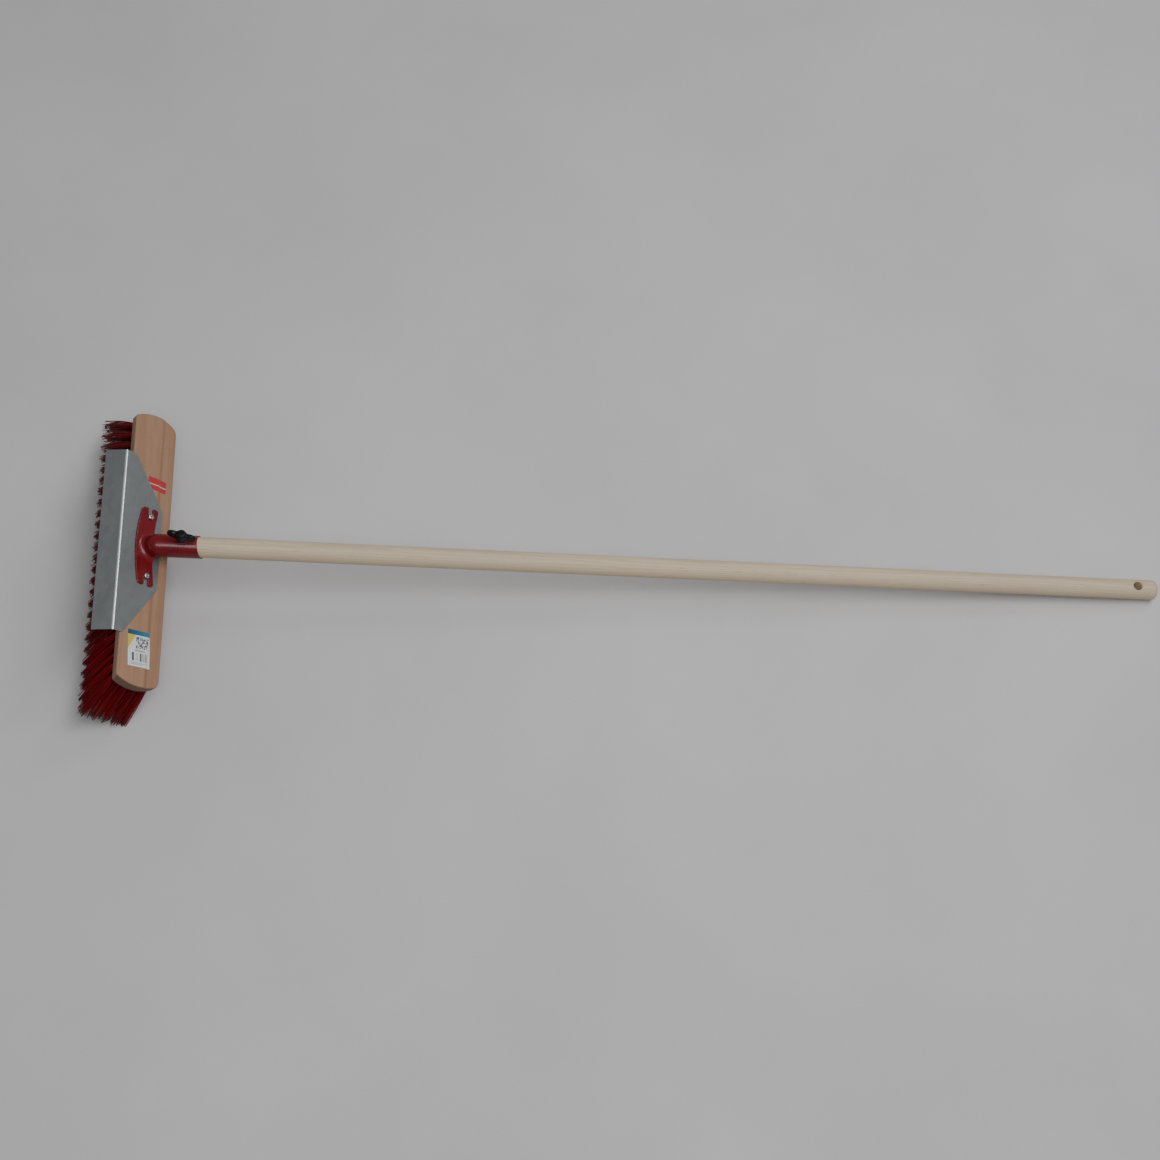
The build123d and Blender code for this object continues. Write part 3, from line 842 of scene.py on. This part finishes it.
# ---------------------------------------------------------------------------
# Handle: turned bar with a domed end and a countersunk hanging hole
# ---------------------------------------------------------------------------
HANDLE_START = 31.0
HANDLE_END = 1431.0
HANDLE_RADIUS = 14.0
INNER_END_RADIUS = 11.4
RING_SPACING = 50.0
END_ROUND = 9.0
HOLE_INSET = 32.0


def handle_profile():
    """Radius against distance along the axis, from the chamfered foot to the domed end."""
    shoulder = HANDLE_START + 2.6
    profile = [(HANDLE_START, 0.0), (HANDLE_START, INNER_END_RADIUS), (shoulder, HANDLE_RADIUS)]
    for k in range(1, 28):
        profile.append((shoulder + k * RING_SPACING, HANDLE_RADIUS))
    for k in range(13):
        angle = math.radians(90 * k / 12)
        along = HANDLE_END - END_ROUND + END_ROUND * math.sin(angle)
        profile.append((along, HANDLE_RADIUS - END_ROUND + END_ROUND * math.cos(angle)))
    profile.append((HANDLE_END, 0.0))
    return profile


def make_handle():
    sides = 64
    points = []
    faces = []
    profile = handle_profile()
    for along, radius in profile:
        for k in range(sides):
            angle = 2 * math.pi * k / sides
            points.append((radius * math.cos(angle), radius * math.sin(angle), along))
    for ring in range(len(profile) - 1):
        for k in range(sides):
            a = ring * sides + k
            b = ring * sides + (k + 1) % sides
            faces.append((a, b, b + sides, a + sides))
    piece = add_mesh("turned_handle", points, faces, SOCKET)
    weld(piece)
    cut_hole(piece)
    cover(piece, handle_wood)
    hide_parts("handle")
    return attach(piece, "handle")


def weld(piece):
    """Merge coincident points and turn the faces outwards."""
    mesh = bmesh.new()
    mesh.from_mesh(piece.data)
    bmesh.ops.remove_doubles(mesh, verts=mesh.verts, dist=1e-6)
    bmesh.ops.recalc_face_normals(mesh, faces=mesh.faces)
    mesh.to_mesh(piece.data)
    mesh.free()


def cut_hole(piece):
    """The hanging hole, cut by a countersunk spindle, with a softened mouth."""
    sides = 48
    outline = [(-20, 11.0), (-14.4, 8.3), (-12.4, 6.55), (-11.6, 6.5)]
    outline = outline + [(-x, r) for x, r in reversed(outline)]
    points = []
    faces = []
    for x, radius in outline:
        for k in range(sides):
            angle = 2 * math.pi * k / sides
            points.append((x, radius * math.cos(angle), radius * math.sin(angle)))
    for ring in range(len(outline) - 1):
        for k in range(sides):
            a = ring * sides + k
            b = ring * sides + (k + 1) % sides
            faces.append((a, b, b + sides, a + sides))
    faces.append(tuple(reversed(range(sides))))
    faces.append(tuple((len(outline) - 1) * sides + k for k in range(sides)))
    place = SOCKET @ Matrix.Translation((0, 0, HANDLE_END - HOLE_INSET))
    spindle = add_mesh("spindle", points, faces, place)
    weld(spindle)
    cut = piece.modifiers.new("hole", "BOOLEAN")
    cut.operation = "DIFFERENCE"
    cut.solver = "EXACT"
    cut.object = spindle
    apply_modifiers(piece)
    bpy.data.objects.remove(spindle)
    piece.data.shade_smooth()
    piece.data.set_sharp_from_angle(angle=math.radians(32))


def apply_modifiers(piece):
    graph = bpy.context.evaluated_depsgraph_get()
    mesh = bpy.data.meshes.new_from_object(piece.evaluated_get(graph), depsgraph=graph)
    piece.modifiers.clear()
    piece.data = mesh


# ---------------------------------------------------------------------------
# Labels
# ---------------------------------------------------------------------------
def unwrap(node, middle, width, length, turn):
    """Sheet coordinates for a CAD label: 0 to 1 across its width and along its length."""
    mesh = nodes[node].data
    layer = mesh.uv_layers.new(name="sheet")
    to_head = HEAD.inverted()
    cos, sin = math.cos(math.radians(turn)), math.sin(math.radians(turn))
    for loop in mesh.loops:
        point = to_head @ mesh.vertices[loop.vertex_index].co
        x, y = point.x - middle[0], point.y - middle[1]
        u = (x * cos + y * sin) / width + 0.5
        v = (-x * sin + y * cos) / length + 0.5
        layer.data[loop.index].uv = (u, v)


# ---------------------------------------------------------------------------
# Build
# ---------------------------------------------------------------------------
enamel = red_enamel("red_enamel")
black = moulded_black("moulded_black")
bristle = bristle_plastic("bristle_plastic")
handle_wood = pine("pine")
steel = zinc("zinc")

cover(nodes["scraper_plate"], galvanised("galvanised"))
cover(nodes["clamp_nut"], steel)
cover(nodes["holder_screws"], steel)
cover(nodes["clamp_stud"], steel)
anchor_steel = zinc("anchor_wire", 0.3, 0.45)
for row in range(1, 6):
    cover(nodes[f"tuft_anchors_{row}"], anchor_steel)

unwrap("price_label", middle=(4.75, -147.5), width=34.5, length=50.0, turn=4.0)
unwrap("red_sticker", middle=(14.5, 96.0), width=30.0, length=18.0, turn=0.0)
cover(nodes["price_label"], printed("price_print", draw_price_label, 0.4))
cover(nodes["red_sticker"], printed("sticker_print", draw_red_sticker, 0.28))

make_block()
make_holder()
make_wing()
make_handle()
for row in range(1, 6):
    make_bristles(row)


# ---------------------------------------------------------------------------
# Floor, light and camera
# ---------------------------------------------------------------------------
def make_floor():
    half = 6.0
    corners = [(-half, -half, 0), (half, -half, 0), (half, half, 0), (-half, half, 0)]
    floor = add_mesh("floor", corners, [(0, 1, 2, 3)], smooth=False)
    cover(floor, floor_grey("floor_grey"))


def soft_box(name, place, aim, size, power):
    """A rectangular area light, aimed at a point."""
    lamp = bpy.data.lights.new(name, "AREA")
    lamp.shape = "RECTANGLE"
    lamp.size, lamp.size_y = size
    lamp.energy = power
    box = bpy.data.objects.new(name, lamp)
    box.location = place
    box.rotation_euler = (Vector(place) - Vector(aim)).to_track_quat("Z", "Y").to_euler()
    bpy.context.scene.collection.objects.link(box)


def make_light():
    world = bpy.data.worlds.new("studio")
    world.use_nodes = True
    world.node_tree.nodes["Background"].inputs["Color"].default_value = (0.96, 0.97, 1.0, 1)
    world.node_tree.nodes["Background"].inputs["Strength"].default_value = 0.24
    bpy.context.scene.world = world
    soft_box("overhead", (0.35, -0.35, 2.9), (0.05, -0.1, 0), (3.2, 1.3), 76)
    soft_box("window", (1.7, 1.75, 2.4), (0.2, 0, 0), (0.6, 0.8), 14)


def make_camera():
    """Above the broom and a little to its head's side, rolled so that the handle falls
    gently to the right across the picture."""
    focal = 62.77
    distance = 2.850
    elevation = math.radians(65.47)
    azimuth = math.radians(-12.03)
    roll = math.radians(12.04)
    aim = Vector((-0.0773, 0.0056, 0.0))
    back = Vector((
        math.sin(azimuth) * math.cos(elevation),
        -math.cos(azimuth) * math.cos(elevation),
        math.sin(elevation),
    ))
    level = (-back).cross(Vector((0, 0, 1))).normalized()
    rise = level.cross(-back)
    right = level * math.cos(roll) + rise * math.sin(roll)
    top = rise * math.cos(roll) - level * math.sin(roll)
    camera = bpy.data.objects.new("camera", bpy.data.cameras.new("camera"))
    camera.data.sensor_width = 36
    camera.data.lens = focal
    turn = Matrix((right, top, back)).transposed().to_4x4()
    camera.matrix_world = Matrix.Translation(aim + back * distance) @ turn
    bpy.context.scene.collection.objects.link(camera)
    bpy.context.scene.camera = camera


make_floor()
make_light()
make_camera()
